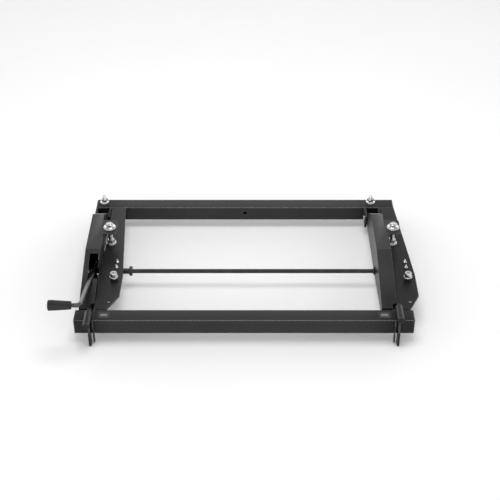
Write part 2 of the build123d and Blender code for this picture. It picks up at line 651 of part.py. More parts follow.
lean = math.radians(LEVER_ANGLE)
over_shaft_y = SHAFT_Y + LEVER_OFFSET * math.sin(lean)
over_shaft_z = SHAFT_Z + LEVER_OFFSET * math.cos(lean)
lever_end_y = over_shaft_y - LEVER_LENGTH * math.cos(lean)
lever_end_z = over_shaft_z + LEVER_LENGTH * math.sin(lean)
lever_root_y = over_shaft_y + LEVER_TAIL * math.cos(lean)
lever_root_z = over_shaft_z - LEVER_TAIL * math.sin(lean)
lever_path = FilletPolyline(
    (LEVER_X, lever_root_y, lever_root_z),
    (LEVER_X, lever_end_y, lever_end_z),
    (LEVER_X - SHANK_FREE + 4.0, lever_end_y, lever_end_z),
    radius=LEVER_BEND_R,
)
bar = sweep(Plane(origin=lever_path @ 0, z_dir=lever_path % 0) * Circle(LEVER_R), lever_path)
bar -= rod_x(HUB_R, HUB_LEFT - 5, HUB_LEFT + HUB_WIDTH + 5, SHAFT_Y, SHAFT_Z)
GRIP_RIGHT = LEVER_X - SHANK_FREE
GRIP_LEFT = GRIP_RIGHT - GRIP_LENGTH
shank = rod_x(SHANK_R, GRIP_RIGHT - GRIP_BORE_DEPTH + 3, GRIP_RIGHT + 5, lever_end_y, lever_end_z)
bar += chamfer(shank.edges().group_by(Axis.X)[0], 0.8)
add("lever_bar", bar)

# ---- grip ----------------------------------------------------------------------------
with BuildSketch(Plane.XY) as grip_half:
    with BuildLine():
        Spline(
            (GRIP_RIGHT, GRIP_NECK_R - 1.5),
            (GRIP_RIGHT - 2.0, GRIP_NECK_R),
            (GRIP_RIGHT - GRIP_LENGTH * 0.4, GRIP_R - 0.8),
            (GRIP_LEFT + 2.0, GRIP_R),
            (GRIP_LEFT, GRIP_R - 1.5),
        )
        Polyline((GRIP_LEFT, GRIP_R - 1.5), (GRIP_LEFT, 0), (GRIP_RIGHT, 0), (GRIP_RIGHT, GRIP_NECK_R - 1.5))
    make_face()
grip = revolve(grip_half.sketch, Axis.X)
grip = Pos(0, lever_end_y, lever_end_z) * grip
grip -= rod_x(SHANK_R + RUNNING, GRIP_RIGHT - GRIP_BORE_DEPTH, GRIP_RIGHT + 1, lever_end_y, lever_end_z)
add("grip", grip)


# ---- bearing blocks under the decks --------------------------------------------------
def bearing_block():
    x0, x1 = BLOCK_LEFT, BLOCK_LEFT + BLOCK_X
    body = block(x0, x1, SHAFT_Y - BLOCK_Y / 2, SHAFT_Y + BLOCK_Y / 2, -DECK - BLOCK_Z, -DECK)
    body = fillet(body.edges().filter_by(Axis.X).group_by(Axis.Z)[0], 8)
    body -= rod_x(BUSH_R + 0.02, x0 - 1, x1 + 1, SHAFT_Y, SHAFT_Z)
    for dy in (-M5_SPACING / 2, M5_SPACING / 2):
        body -= rod_z(M5["r"] + THREAD, -DECK - M5_DEPTH - 0.5, 0, DECK_LEFT + M5_INSET, SHAFT_Y + dy)
    return body


def bearing_bush():
    return ring_x(BUSH_R, SHAFT_R + RUNNING, BLOCK_LEFT, BLOCK_LEFT + BLOCK_X, SHAFT_Y, SHAFT_Z)


add("left_bearing_block", bearing_block())
add("right_bearing_block", Pos(UNIT_PITCH, 0, 0) * bearing_block())
add("bearing_bushes", *on_both_sides(bearing_bush))


def bearing_stud(x, y):
    stud = rod_z(M5["r"], -DECK - M5_DEPTH, M5["nut"] + M5_END, x, y)
    return chamfer(stud.edges(), 0.4)


stud_places = [
    (DECK_LEFT + M5_INSET + shift, SHAFT_Y + dy)
    for shift in (0.0, UNIT_PITCH)
    for dy in (-M5_SPACING / 2, M5_SPACING / 2)
]
add("bearing_studs", *[bearing_stud(x, y) for x, y in stud_places])
add("bearing_nuts", *[flange_nut(M5, 0, x, y, M5["flange_r"], 1.0, 1.0) for x, y in stud_places])


# ---- stop bolts ----------------------------------------------------------------------
RAIL_BOTTOM = -DECK - RAIL_HEIGHT
STOP_SEAT = ARM_TOP + 0.3


def stop_bolt():
    head = hexagon(M12["flats"], RAIL_BOTTOM - M12["hex_head"], RAIL_BOTTOM, STOP_X, STOP_Y)
    top = STOP_SEAT + WIDE_WASHER + M12["nut"] + STOP_BOLT_END
    shank = rod_z(M12["r"], RAIL_BOTTOM, top, STOP_X, STOP_Y)
    return head + chamfer(shank.edges().group_by(Axis.Z)[-1], 1.0)


def stop_lower_nut():
    return nut(M12, M12["washer"], STOP_X, STOP_Y)


def stop_lower_washer():
    return washer(M12, 0, STOP_X, STOP_Y, LOWER_WASHER_R)


def stop_top_washer():
    return washer(M12, STOP_SEAT, STOP_X, STOP_Y, WIDE_WASHER_R, WIDE_WASHER)


def stop_top_nut():
    return flange_nut(M12, STOP_SEAT + WIDE_WASHER, STOP_X, STOP_Y, M12["flange_r"], FLANGE, STOP_CONE)


add("stop_bolts", *on_both_sides(stop_bolt))
add("stop_lower_nuts", *on_both_sides(stop_lower_nut))
add("stop_lower_washers", *on_both_sides(stop_lower_washer))
add("stop_top_washers", *on_both_sides(stop_top_washer))
add("stop_top_nuts", *on_both_sides(stop_top_nut))


# ---- cap screws on the decks ---------------------------------------------------------
CAP_SCREW_X = DECK_LEFT + CAP_SCREW_INSET


def deck_screw():
    seat = CAP_SCREW_BUSH + M12["washer"]
    length = seat + DECK + M12["nut"] + 2.0
    return cap_screw(M12["r"], M12_HEAD_R, M12_HEAD, seat, length, CAP_SCREW_X, CAP_SCREW_Y)


def deck_screw_washer():
    return washer(M12, CAP_SCREW_BUSH, CAP_SCREW_X, CAP_SCREW_Y)


def deck_screw_bush():
    return ring_z(CAP_SCREW_BUSH_R, M12["r"] + 0.3, 0, CAP_SCREW_BUSH, CAP_SCREW_X, CAP_SCREW_Y)


def deck_screw_nut():
    return nut(M12, -DECK - M12["nut"], CAP_SCREW_X, CAP_SCREW_Y)


add("deck_screws", *on_both_sides(deck_screw))
add("deck_screw_washers", *on_both_sides(deck_screw_washer))
add("deck_screw_bushes", *on_both_sides(deck_screw_bush))
add("deck_screw_nuts", *on_both_sides(deck_screw_nut))


# ---- bolts through the rear beam -----------------------------------------------------
def rear_bolt():
    head = hexagon(M12["flats"], -TUBE - M12["hex_head"], -TUBE, REAR_BOLT_X, REAR_BOLT_Y)
    top = M12["washer"] + M12["nut"] + REAR_BOLT_END
    shank = rod_z(M12["r"], -TUBE, top, REAR_BOLT_X, REAR_BOLT_Y)
    return head + chamfer(shank.edges().group_by(Axis.Z)[-1], 1.0)


def rear_nut():
    return flange_nut(M12, M12["washer"], REAR_BOLT_X, REAR_BOLT_Y, REAR_FLANGE_R, FLANGE, REAR_CONE)


def rear_washer():
    return washer(M12, 0, REAR_BOLT_X, REAR_BOLT_Y, REAR_WASHER_R)


add("rear_bolts", *on_both_sides(rear_bolt))
add("rear_nuts", *on_both_sides(rear_nut))
add("rear_washers", *on_both_sides(rear_washer))


# ---- hooks on the front beam ---------------------------------------------------------
def outer_hook():
    """The heavy plate of the left fork, from the beam's front face down to the floor."""
    depth = HOOK_OUTER_DEPTH
    outline = [
        (0, -1.0),
        (-depth * 0.45, -1.0),
        (-depth, -TUBE * 0.62),
        (-depth, -STAND_HEIGHT),
        (0, -STAND_HEIGHT),
    ]
    return plate_yz(outline, -HOOK_OUTER_X - HOOK_OUTER, -HOOK_OUTER_X)


def inner_hook():
    """The light plate of the left fork, bent over the beam's top edge."""
    tip = -STAND_HEIGHT + HOOK_INNER_TIP
    depth = HOOK_INNER_DEPTH
    outline = [
        (TUBE - 1.0, 0),
        (TUBE - 1.0, HOOK_TOP_STRIP),
        (-depth * 0.4, HOOK_TOP_STRIP),
        (-depth, -TUBE * 0.25),
        (-depth, tip + 4.0),
        (-depth * 0.65, tip),
        (0, tip),
        (0, 0),
    ]
    return plate_yz(outline, -HOOK_INNER_X - HOOK_INNER, -HOOK_INNER_X)


# ---- latch bolts ---------------------------------------------------------------------
def latch_guide():
    """The T-shaped key that a latch bolt slides on."""
    y0, y1 = KEY_INSET, TUBE - KEY_INSET
    stem = block(-LATCH_X - KEY_STEM / 2, -LATCH_X + KEY_STEM / 2, y0, y1, 0, KEY_STEM_H)
    head_top = KEY_STEM_H + KEY_HEAD_H
    return stem + block(-LATCH_X - KEY_HEAD / 2, -LATCH_X + KEY_HEAD / 2, y0, y1, KEY_STEM_H, head_top)


def latch_bolt():
    """A round sliding bolt, drawn back, with the key's slot open at its rear end."""
    rear = LATCH_FRONT_IN + LATCH_LENGTH
    axis_z = LATCH_R + SLIDING
    bolt = rod_y(LATCH_R, LATCH_FRONT_IN, rear, -LATCH_X, axis_z)
    bolt = fillet(bolt.edges().group_by(Axis.Y)[0] + bolt.edges().group_by(Axis.Y)[-1], 1.2)
    half_stem, half_head = KEY_STEM / 2 + SLIDING, KEY_HEAD / 2 + SLIDING
    start = KEY_INSET - SLIDING
    low, high = KEY_STEM_H - SLIDING, KEY_STEM_H + KEY_HEAD_H + SLIDING
    bolt -= block(-LATCH_X - half_stem, -LATCH_X + half_stem, start, rear + 1, -1, high)
    return bolt - block(-LATCH_X - half_head, -LATCH_X + half_head, start, rear + 1, low, high)


def label():
    """A plain label on the front beam's top."""
    plate = Pos(-LABEL_X, TUBE / 2, LABEL / 2) * Box(LABEL_LENGTH, LABEL_DEPTH, LABEL)
    return fillet(plate.edges().filter_by(Axis.Z), LABEL_CORNER)


add("left_outer_hook", outer_hook())
add("right_outer_hook", mirror(outer_hook(), about=Plane.YZ))
add("left_inner_hook", inner_hook())
add("right_inner_hook", mirror(inner_hook(), about=Plane.YZ))
add("latch_guides", latch_guide(), mirror(latch_guide(), about=Plane.YZ))
add("left_latch_bolt", Pos(0, -LATCH_TRAVEL, 0) * latch_bolt())
add("right_latch_bolt", mirror(latch_bolt(), about=Plane.YZ))
add("labels", label(), mirror(label(), about=Plane.YZ))

# ---- origin at the bottom centre, and export -----------------------------------------
whole = Compound(children=[Compound(shape.wrapped) for shape in parts.values()]).bounding_box()
to_origin = Pos(-(whole.min.X + whole.max.X) / 2, -(whole.min.Y + whole.max.Y) / 2, -whole.min.Z)

os.makedirs("parts", exist_ok=True)
for name, shape in parts.items():
    export_step(to_origin * shape, "parts/" + name + ".step")
print("nodes", len(parts))
print("origin in the modelling frame", whole.center().X, whole.center().Y, whole.min.Z)
print("size", whole.size)
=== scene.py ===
import json
import math

import bmesh
import bpy
from bpy.props import FloatProperty, FloatVectorProperty, IntProperty, PointerProperty
from mathutils import Matrix, Vector


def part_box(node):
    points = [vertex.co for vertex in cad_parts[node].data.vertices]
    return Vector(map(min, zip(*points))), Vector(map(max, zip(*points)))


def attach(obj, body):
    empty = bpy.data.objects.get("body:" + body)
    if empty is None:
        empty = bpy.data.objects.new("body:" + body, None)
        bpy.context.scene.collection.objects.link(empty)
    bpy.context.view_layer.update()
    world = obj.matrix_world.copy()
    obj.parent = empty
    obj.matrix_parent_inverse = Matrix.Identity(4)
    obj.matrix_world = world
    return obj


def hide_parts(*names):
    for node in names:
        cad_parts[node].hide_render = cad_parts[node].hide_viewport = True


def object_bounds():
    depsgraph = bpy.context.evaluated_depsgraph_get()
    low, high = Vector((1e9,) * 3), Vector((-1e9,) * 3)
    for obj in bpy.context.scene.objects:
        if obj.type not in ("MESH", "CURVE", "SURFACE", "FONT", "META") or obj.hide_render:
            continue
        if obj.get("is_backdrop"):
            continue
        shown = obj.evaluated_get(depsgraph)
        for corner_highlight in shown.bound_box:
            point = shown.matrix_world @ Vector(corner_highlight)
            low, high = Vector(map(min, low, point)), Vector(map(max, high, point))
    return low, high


bl_info = {
    "name": "Lever clamping frame",
    "version": (1, 0, 0),
    "blender": (4, 5, 0),
    "location": "View3D > Sidebar > Clamp Frame",
    "description": "Builds the visible pieces and finishes of a lever-operated clamping frame",
    "category": "Object",
}

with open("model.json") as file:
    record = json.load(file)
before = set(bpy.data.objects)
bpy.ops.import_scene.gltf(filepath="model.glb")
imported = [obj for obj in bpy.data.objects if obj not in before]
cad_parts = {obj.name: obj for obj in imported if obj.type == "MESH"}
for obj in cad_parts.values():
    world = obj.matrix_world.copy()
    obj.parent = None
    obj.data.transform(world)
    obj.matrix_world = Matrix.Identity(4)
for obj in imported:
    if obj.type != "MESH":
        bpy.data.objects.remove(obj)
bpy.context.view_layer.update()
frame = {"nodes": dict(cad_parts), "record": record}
NODES = frame["nodes"]
MM = 0.001
BODY_OF = {
    node: body
    for body, members in frame["record"]["behaviour"]["bodies"].items()
    for node in members
}
SLOT_OF = {row["node"]: row["material_slot"] for row in frame["record"]["subparts"]}


# ---- settings ------------------------------------------------------------------------
class FinishSettings(bpy.types.PropertyGroup):
    """Colours and surfaces of the frame's finishes"""

    coat_colour: FloatVectorProperty(
        name="Coat colour", description="Black powder coat on the welded steel",
        default=(0.0085, 0.0085, 0.0089), size=3, min=0, max=1, subtype="COLOR",
    )
    coat_roughness: FloatProperty(
        name="Coat roughness", description="Mean roughness of the powder coat",
        default=0.36, min=0, max=1, subtype="FACTOR",
    )
    coat_sheen: FloatProperty(
        name="Coat sheen", description="Strength of the powder coat's reflection",
        default=0.34, min=0, max=1, subtype="FACTOR",
    )
    coat_grain: FloatProperty(
        name="Coat grain", description="Size of the powder coat's orange peel",
        default=0.0011, min=0.0002, max=0.01, unit="LENGTH",
    )
    # The worn edge colour also paints a highlight on the tubes' rounded corners.
    wear_and_highlight_colour: FloatVectorProperty(
        name="Worn edge and painted highlight colour", description="Coat rubbed thin along edges, and painted highlight on tube corners",
        default=(0.15, 0.15, 0.154), size=3, min=0, max=1, subtype="COLOR",
    )
    zinc_colour: FloatVectorProperty(
        name="Zinc colour", description="Bright zinc plating on the fasteners",
        default=(0.66, 0.67, 0.69), size=3, min=0, max=1, subtype="COLOR",
    )
    steel_colour: FloatVectorProperty(
        name="Blackened steel colour", description="Lever bar, hub, clips and latch guides",
        default=(0.062, 0.062, 0.065), size=3, min=0, max=1, subtype="COLOR",
    )
    oxide_colour: FloatVectorProperty(
        name="Black oxide colour", description="Cross shaft, collars and cams",
        default=(0.032, 0.032, 0.034), size=3, min=0, max=1, subtype="COLOR",
    )
    plastic_colour: FloatVectorProperty(
        name="Plastic colour", description="Grip, end caps and bushes",
        default=(0.008, 0.008, 0.0084), size=3, min=0, max=1, subtype="COLOR",
    )
    bronze_colour: FloatVectorProperty(
        name="Bronze colour", description="Sintered bearing bushes",
        default=(0.50, 0.32, 0.16), size=3, min=0, max=1, subtype="COLOR",
    )
    label_red: FloatVectorProperty(
        name="Label red", description="Upper bar of the plain labels",
        default=(0.17, 0.045, 0.03), size=3, min=0, max=1, subtype="COLOR",
    )
    label_green: FloatVectorProperty(
        name="Label green", description="Lower bar of the plain labels",
        default=(0.02, 0.13, 0.035), size=3, min=0, max=1, subtype="COLOR",
    )
    label_pale: FloatVectorProperty(
        name="Label pale", description="Narrow bar of the plain labels",
        default=(0.42, 0.43, 0.40), size=3, min=0, max=1, subtype="COLOR",
    )


class DetailSettings(bpy.types.PropertyGroup):
    """Sizes of the small details that the CAD model leaves plain"""

    plate_edge: FloatProperty(
        name="Plate edge", description="Rounding of cut plate edges under the coat",
        default=0.0007, min=0, max=0.003, unit="LENGTH",
    )
    arm_edge: FloatProperty(
        name="Arm fold", description="Rounding of the arms' folded edges",
        default=0.0012, min=0, max=0.003, unit="LENGTH",
    )
    fine_edge: FloatProperty(
        name="Fine edge", description="Broken edges on turned parts and fasteners",
        default=0.0003, min=0, max=0.002, unit="LENGTH",
    )
    thread_pitch: FloatProperty(
        name="Thread pitch", description="Pitch of the M12 threads",
        default=0.00175, min=0.0005, max=0.003, unit="LENGTH",
    )
    thread_depth: FloatProperty(
        name="Thread depth", description="Crest to root of the M12 threads",
        default=0.0009, min=0.0001, max=0.002, unit="LENGTH",
    )
    bead_radius: FloatProperty(
        name="Weld bead radius", description="Half width of a weld bead",
        default=0.0022, min=0.0005, max=0.006, unit="LENGTH",
    )
    bead_ripple: FloatProperty(
        name="Weld ripple", description="Distance between two ripples of a weld bead",
        default=0.0022, min=0.0005, max=0.006, unit="LENGTH",
    )
    knurl_teeth: IntProperty(
        name="Knurl teeth", description="Teeth round a socket screw's head",
        default=36, min=12, max=96,
    )


class StudioSettings(bpy.types.PropertyGroup):
    """Camera, lights and floor"""

    camera_elevation: FloatProperty(
        name="Camera elevation", description="Angle of the view above the horizon",
        default=math.radians(35.98), min=0, max=math.pi / 2, subtype="ANGLE",
    )
    camera_side: FloatProperty(
        name="Camera side", description="Camera to the right of the front beam's middle",
        default=0.0155, unit="LENGTH",
    )
    camera_back: FloatProperty(
        name="Camera back", description="Camera in front of the front beam's front face",
        default=2.190, min=0.1, unit="LENGTH",
    )
    camera_up: FloatProperty(
        name="Camera up", description="Camera above the beams' top",
        default=1.819, unit="LENGTH",
    )
    lens: FloatProperty(
        name="Lens", description="Focal length of the camera in millimetres",
        default=77.79, min=10, max=300,
    )
    world_strength: FloatProperty(
        name="Room light", description="Strength of the white surround half way up",
        default=1.18, min=0, max=10,
    )
    horizon_strength: FloatProperty(
        name="Horizon light", description="Strength of the white surround near the floor",
        default=2.5, min=0, max=10,
    )
    ceiling_share: FloatProperty(
        name="Ceiling share", description="Strength overhead, as a part of the strength half way up",
        default=0.30, min=0, max=1, subtype="FACTOR",
    )
    key_power: FloatProperty(
        name="Key power", description="Power of the large soft box overhead",
        default=28.0, min=0, subtype="POWER",
    )
    floor_size: FloatProperty(
        name="Floor size", description="Side of the pale floor", default=30.0, min=1, unit="LENGTH",
    )
    floor_colour: FloatVectorProperty(
        name="Floor colour", description="Colour of the pale floor",
        default=(0.93, 0.93, 0.935), size=3, min=0, max=1, subtype="COLOR",
    )


# ---- material helpers ----------------------------------------------------------------
RANGE_SOCKETS = ("From Min", "From Max", "To Min", "To Max")
EDGE_SAMPLES = 6
FLAT_COSINE = 0.995          # between the face's normal and the rounded one, away from an edge
EDGE_COSINE = 0.86           # the same, on an edge


class Shader:
    """A Principled material that is put together node by node."""

    def __init__(self, name):
        self.material = bpy.data.materials.new(name)
        self.material.use_nodes = True
        self.tree = self.material.node_tree
        self.principled = self.tree.nodes["Principled BSDF"]
        self.place = self.node("ShaderNodeTexCoord").outputs["Object"]

    def node(self, kind, **settings):
        made = self.tree.nodes.new(kind)
        for key, value in settings.items():
            setattr(made, key, value)
        return made

    def link(self, source, target):
        self.tree.links.new(source, target)

    def set(self, socket, value):
        self.principled.inputs[socket].default_value = value

    def noise(self, size, detail=2.0, roughness=0.5, stretch=(1, 1, 1)):
        """Noise with features of about that size, in metres."""
        mapping = self.node("ShaderNodeMapping")
        mapping.inputs["Scale"].default_value = stretch
        self.link(self.place, mapping.inputs["Vector"])
        noise = self.node("ShaderNodeTexNoise")
        noise.inputs["Scale"].default_value = 1 / size
        noise.inputs["Detail"].default_value = detail
        noise.inputs["Roughness"].default_value = roughness
        self.link(mapping.outputs["Vector"], noise.inputs["Vector"])
        return noise.outputs["Fac"]

    def remap(self, value, low, high, to_low=0.0, to_high=1.0):
        remap = self.node("ShaderNodeMapRange", clamp=True)
        for socket, number in zip(RANGE_SOCKETS, (low, high, to_low, to_high)):
            remap.inputs[socket].default_value = number
        self.link(value, remap.inputs["Value"])
        return remap.outputs["Result"]

    def math(self, operation, first, second):
        node = self.node("ShaderNodeMath", operation=operation)
        for index, value in enumerate((first, second)):
            if isinstance(value, (int, float)):
                node.inputs[index].default_value = value
            else:
                self.link(value, node.inputs[index])
        return node.outputs["Value"]

    def mix(self, factor, first, second):
        node = self.node("ShaderNodeMix", data_type="RGBA")
        self.link(factor, node.inputs["Factor"])
        for socket, value in ((node.inputs[6], first), (node.inputs[7], second)):
            if isinstance(value, bpy.types.NodeSocket):
                self.link(value, socket)
            else:
                socket.default_value = (*value, 1.0)
        return node.outputs[2]

    def bump(self, height, distance, strength=1.0, below=None):
        bump = self.node("ShaderNodeBump")
        bump.inputs["Strength"].default_value = strength
        bump.inputs["Distance"].default_value = distance
        self.link(height, bump.inputs["Height"])
        if below is not None:
            self.link(below, bump.inputs["Normal"])
        return bump.outputs["Normal"]

    def edges(self, radius):
        """1 along outer and inner edges, 0 on flat stretches."""
        bevel = self.node("ShaderNodeBevel", samples=EDGE_SAMPLES)
        bevel.inputs["Radius"].default_value = radius
        dot = self.node("ShaderNodeVectorMath", operation="DOT_PRODUCT")
        self.link(bevel.outputs["Normal"], dot.inputs[0])
        self.link(self.node("ShaderNodeNewGeometry").outputs["Normal"], dot.inputs[1])
        return self.remap(dot.outputs["Value"], FLAT_COSINE, EDGE_COSINE)

    def out(self, socket, value):
        self.link(value, self.principled.inputs[socket])


def tinted(colour, gain):
    return tuple(min(1.0, c * gain) for c in colour)


COAT_WEAR_RADIUS = 1.6 * MM
# A face leans by the smaller of its normal's Y and Z: 0 when level or upright, more on the
# rounded corners of the beams. There a highlight is painted in the worn edge colour, from the first value,
# and fully at the second.
HIGHLIGHT_LEAN = (0.34, 0.55)
# Painted shade: what is low and near the sides, chiefly the decks and the beams' ends, has less sheen, as
# if the arms shaded its reflection. The sheen comes back over this height above the beams' top, and over
# this distance from the middle.
SHEEN_HEIGHT = (6 * MM, 30 * MM)
SHEEN_SIDEWAYS = (0.40, 0.33)
PAINTED_SHADE_SHEEN_SHARE = 0.5


def coat_material():
    """Semi-gloss black powder coat: orange peel, handling marks, edges rubbed thin, a painted highlight on
    the tube corners and painted shade (less sheen) on the decks.
    """
    finish = bpy.context.scene.clamp_finish
    s = Shader("Black powder coat")
    clouds = s.noise(size=0.11, detail=4.0, roughness=0.6)
    smudges = s.noise(size=0.018, detail=3.0, roughness=0.65)
    peel = s.noise(size=finish.coat_grain, detail=1.5, roughness=0.5)
    body = s.mix(s.remap(clouds, 0.35, 0.7), finish.coat_colour[:], tinted(finish.coat_colour, 1.5))
    chips = s.remap(s.noise(size=0.0035, detail=3.0, roughness=0.7), 0.42, 0.58, 0.25)
    normal = s.node("ShaderNodeSeparateXYZ")
    s.link(s.node("ShaderNodeNewGeometry").outputs["Normal"], normal.inputs["Vector"])
    steepness = s.math("ABSOLUTE", normal.outputs["Y"], 0.0)
    levelness = s.math("ABSOLUTE", normal.outputs["Z"], 0.0)
    # Painted highlight: corners that lean between level and upright are lightened as if they caught the
    # light overhead.
    corner_highlight = s.remap(s.math("MINIMUM", steepness, levelness), *HIGHLIGHT_LEAN)
    worn = s.math("MULTIPLY", s.math("MAXIMUM", s.edges(COAT_WEAR_RADIUS), corner_highlight), chips)
    # Lighter where edges are rubbed thin, which is wear, and on the tube corners, which is a painted
    # highlight.
    s.out("Base Color", s.mix(worn, body, finish.wear_and_highlight_colour[:]))
    uneven = s.remap(smudges, 0.3, 0.75, finish.coat_roughness - 0.05, finish.coat_roughness + 0.07)
    s.out("Roughness", s.math("ADD", uneven, s.math("MULTIPLY", worn, 0.12)))
    # Painted shade: the sheen is cut on the low parts near the sides, so the decks reflect darker.
    split = s.node("ShaderNodeSeparateXYZ")
    s.link(s.place, split.inputs["Vector"])
    beams_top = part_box("front_beam")[1].z
    above = s.remap(split.outputs["Z"], *(beams_top + rise for rise in SHEEN_HEIGHT))
    between = s.remap(s.math("ABSOLUTE", split.outputs["X"], 0.0), *SHEEN_SIDEWAYS)
    full = s.math("MAXIMUM", above, between)
    painted_shade_sheen = finish.coat_sheen * PAINTED_SHADE_SHEEN_SHARE
    s.out("Specular IOR Level", s.remap(full, 0, 1, painted_shade_sheen, finish.coat_sheen))
    s.out("Normal", s.bump(peel, distance=0.00004, strength=0.55))
    return s.material


def zinc_material():
    """Bright zinc plate: a cool, slightly cloudy metal with fine tool marks."""
    colour = bpy.context.scene.clamp_finish.zinc_colour[:]
    s = Shader("Bright zinc")
    s.set("Metallic", 1.0)
    clouds = s.noise(size=0.006, detail=3.0, roughness=0.6)
    s.out("Base Color", s.mix(s.remap(clouds, 0.35, 0.7), colour, tinted(colour, 0.82)))
    s.out("Roughness", s.remap(s.noise(size=0.0022, detail=4.0, roughness=0.7), 0.3, 0.75, 0.16, 0.34))
    s.out("Normal", s.bump(s.noise(size=0.0005, detail=2.0), distance=0.00001, strength=0.5))
    return s.material


BARE_STEEL = (0.42, 0.42, 0.43)
OILED_STEEL = (0.25, 0.25, 0.26)
RUBBED_PLASTIC = (0.06, 0.06, 0.06)
LABEL_FIELD = (0.018, 0.018, 0.019)
BARS_HALF_SHARE = 0.30       # half the bars' length, as a share of the label's


def steel_material():
    """Blackened bar stock with drawn streaks along its length."""
    colour = bpy.context.scene.clamp_finish.steel_colour[:]
    s = Shader("Blackened steel")
    s.set("Metallic", 1.0)
    streaks = s.noise(size=0.0012, detail=3.0, roughness=0.6, stretch=(0.06, 1, 1))
    clouds = s.noise(size=0.03, detail=3.0, roughness=0.6)
    worn = s.math("MULTIPLY", s.edges(0.0006), s.remap(clouds, 0.4, 0.6))
    body = s.mix(s.remap(clouds, 0.3, 0.75), colour, tinted(colour, 1.5))
    s.out("Base Color", s.mix(worn, body, BARE_STEEL))
    s.out("Roughness", s.remap(streaks, 0.25, 0.8, 0.22, 0.40))
    s.out("Normal", s.bump(streaks, distance=0.00002, strength=0.35))
    return s.material


def oxide_material():
    """Black oxide on turned steel, with faint turning marks and a film of oil."""
    colour = bpy.context.scene.clamp_finish.oxide_colour[:]
    s = Shader("Black oxide")
    s.set("Metallic", 1.0)
    marks = s.noise(size=0.0009, detail=3.0, roughness=0.6, stretch=(1, 0.08, 0.08))
    film = s.noise(size=0.02, detail=3.0, roughness=0.6)
    worn = s.math("MULTIPLY", s.edges(0.0005), s.remap(film, 0.4, 0.6))
    body = s.mix(s.remap(film, 0.3, 0.75), colour, tinted(colour, 1.6))
    s.out("Base Color", s.mix(worn, body, OILED_STEEL))
    s.out("Roughness", s.remap(marks, 0.25, 0.8, 0.26, 0.42))
    s.out("Normal", s.bump(marks, distance=0.00001, strength=0.4))
    return s.material


def plastic_material():
    """Moulded black plastic with a fine spark-eroded grain."""
    colour = bpy.context.scene.clamp_finish.plastic_colour[:]
    s = Shader("Black plastic")
    clouds = s.noise(size=0.02, detail=3.0, roughness=0.6)
    worn = s.math("MULTIPLY", s.edges(0.0009), s.remap(clouds, 0.4, 0.65))
    body = s.mix(s.remap(clouds, 0.3, 0.7), colour, tinted(colour, 1.7))
    s.out("Base Color", s.mix(worn, body, RUBBED_PLASTIC))
    s.set("Specular IOR Level", 0.3)
    s.out("Roughness", s.remap(s.noise(size=0.006, detail=3.0), 0.3, 0.7, 0.46, 0.60))
    s.out("Normal", s.bump(s.noise(size=0.0006, detail=2.0), distance=0.00003, strength=0.4))
    return s.material


def bronze_material():
    """Sintered bronze, porous and a little oily."""
    colour = bpy.context.scene.clamp_finish.bronze_colour[:]
    s = Shader("Sintered bronze")
    s.set("Metallic", 1.0)
    pores = s.noise(size=0.0004, detail=3.0, roughness=0.7)
    s.out("Base Color", s.mix(s.remap(pores, 0.35, 0.6), tinted(colour, 0.6), colour))
    s.out("Roughness", s.remap(pores, 0.3, 0.7, 0.5, 0.3))
    s.out("Normal", s.bump(pores, distance=0.00003, strength=0.5))
    return s.material


def label_material():
    """A plain printed label: a dark field with three short bars."""
    finish = bpy.context.scene.clamp_finish
    s = Shader("Plain label")
    low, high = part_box("labels")
    split = s.node("ShaderNodeSeparateXYZ")
    s.link(s.place, split.inputs["Vector"])
    depth = high.y - low.y
    middle = (low.x + high.x) / 2
    sideways = s.math("ABSOLUTE", s.math("SUBTRACT", split.outputs["X"], middle), 0.0)
    inner_x = s.math("COMPARE", sideways, (high.x - low.x) / 2 - label_length() / 2)
    inner_x.node.inputs[2].default_value = label_length() * BARS_HALF_SHARE
    field = LABEL_FIELD
    # Middle and half width of each bar, as shares of the label's depth.
    bars = (
        (0.72, 0.06, finish.label_red[:]),
        (0.50, 0.05, finish.label_pale[:]),
        (0.29, 0.06, finish.label_green[:]),
    )
    for share, half, colour in bars:
        bar = s.math("COMPARE", split.outputs["Y"], low.y + depth * share)
        bar.node.inputs[2].default_value = depth * half
        field = s.mix(s.math("MULTIPLY", bar, inner_x), field, colour)
    s.out("Base Color", field)
    s.out("Roughness", s.remap(s.noise(size=0.004, detail=3.0), 0.3, 0.7, 0.24, 0.38))
    s.out("Normal", s.bump(s.noise(size=0.0015, detail=2.0), distance=0.00002, strength=0.3))
    return s.material


def floor_material():
    """Matt pale sweep."""
    colour = bpy.context.scene.clamp_studio.floor_colour[:]
    s = Shader("Pale floor")
    mottle = s.noise(size=0.35, detail=3.0)
    s.out("Base Color", s.mix(s.remap(mottle, 0.3, 0.7), colour, tinted(colour, 1.01)))
    s.set("Roughness", 0.75)
    s.set("Specular IOR Level", 0.2)
    return s.material


MAKERS = {
    "black_coat": coat_material,
    "zinc": zinc_material,
    "dark_steel": steel_material,
    "black_oxide": oxide_material,
    "black_plastic": plastic_material,
    "bronze": bronze_material,
    "label": label_material,
}
FINISHES = {}


def finish_for(slot):
    if slot not in FINISHES:
        FINISHES[slot] = MAKERS[slot]()
    return FINISHES[slot]


# ---- mesh helpers --------------------------------------------------------------------
def upright_axis(low, high):
    """X and Y of the middle of a box."""
    return (low.x + high.x) / 2, (low.y + high.y) / 2


def solid_boxes(node, rows=1):
    """The boxes of the separate solids in a grouped node: a left and a right one, in rows along Y."""
    points = [v.co.copy() for v in NODES[node].data.vertices]
    low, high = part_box(node)
    found = {}
    for p in points:
        row = min(rows - 1, int((p.y - low.y) / (high.y - low.y) * rows))
        found.setdefault((p.x > (low.x + high.x) / 2, row), []).append(p)
    boxes = []
    for key in sorted(found):
        group = found[key]
        lows = Vector(min(p[i] for p in group) for i in range(3))
        highs = Vector(max(p[i] for p in group) for i in range(3))
        boxes.append((lows, highs))
    return boxes


def label_length():
    low, high = solid_boxes("labels")[0]
    return high.x - low.x


